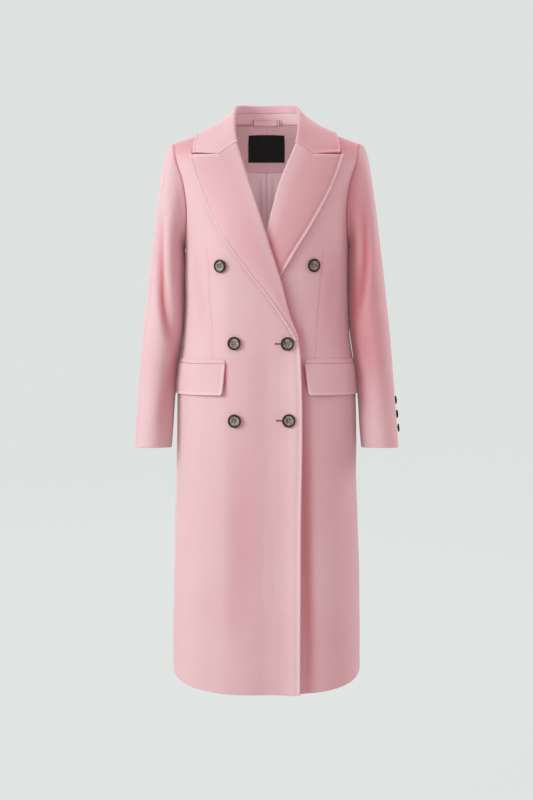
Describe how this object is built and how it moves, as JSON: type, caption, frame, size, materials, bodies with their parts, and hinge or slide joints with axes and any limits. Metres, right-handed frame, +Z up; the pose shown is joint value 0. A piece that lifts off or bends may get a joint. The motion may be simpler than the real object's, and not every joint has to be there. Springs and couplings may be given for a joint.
{
  "type": "overcoat",
  "caption": "Long double-breasted wool overcoat with wide peak lapels, horn buttons and flap pockets, filled out as worn and open at the neck, cuffs and hem.",
  "frame": {"origin": "centre of the neck opening at the height of the nape seam, in the plane of the side seams, where the wearer's neck and shoulders hold the coat up", "axes": "+Z up, +X to the wearer's left, -Y to the front where the coat closes"},
  "size_m": [0.5716, 0.3741, 1.2448],
  "materials": {
    "wool": "matt brushed wool coating, dusty pink",
    "lining": "satin lining, pale mauve pink",
    "label": "bare woven label, black",
    "horn": "mottled dark olive-brown horn-like button, satin gloss"
  },
  "bodies": {
    "root": {"front_left": "wool", "front_right": "wool", "back_left": "wool", "back_right": "wool", "lapel_left": "wool", "lapel_right": "wool", "sleeve_upper_left": "wool", "sleeve_upper_right": "wool", "sleeve_under_left": "wool", "sleeve_under_right": "wool", "flap_left": "wool", "flap_right": "wool", "welt_left": "wool", "welt_right": "wool", "collar": "wool", "collar_stand": "wool", "back_neck_facing": "wool", "hanger_loop": "wool", "back_lining": "lining", "label": "label", "button_top_left": "horn", "button_top_right": "horn", "button_middle_left": "horn", "button_middle_right": "horn", "button_low_left": "horn", "button_low_right": "horn", "cuff_button_left_1": "horn", "cuff_button_left_2": "horn", "cuff_button_left_3": "horn", "cuff_button_right_1": "horn", "cuff_button_right_2": "horn", "cuff_button_right_3": "horn"}
  },
  "joints": []
}
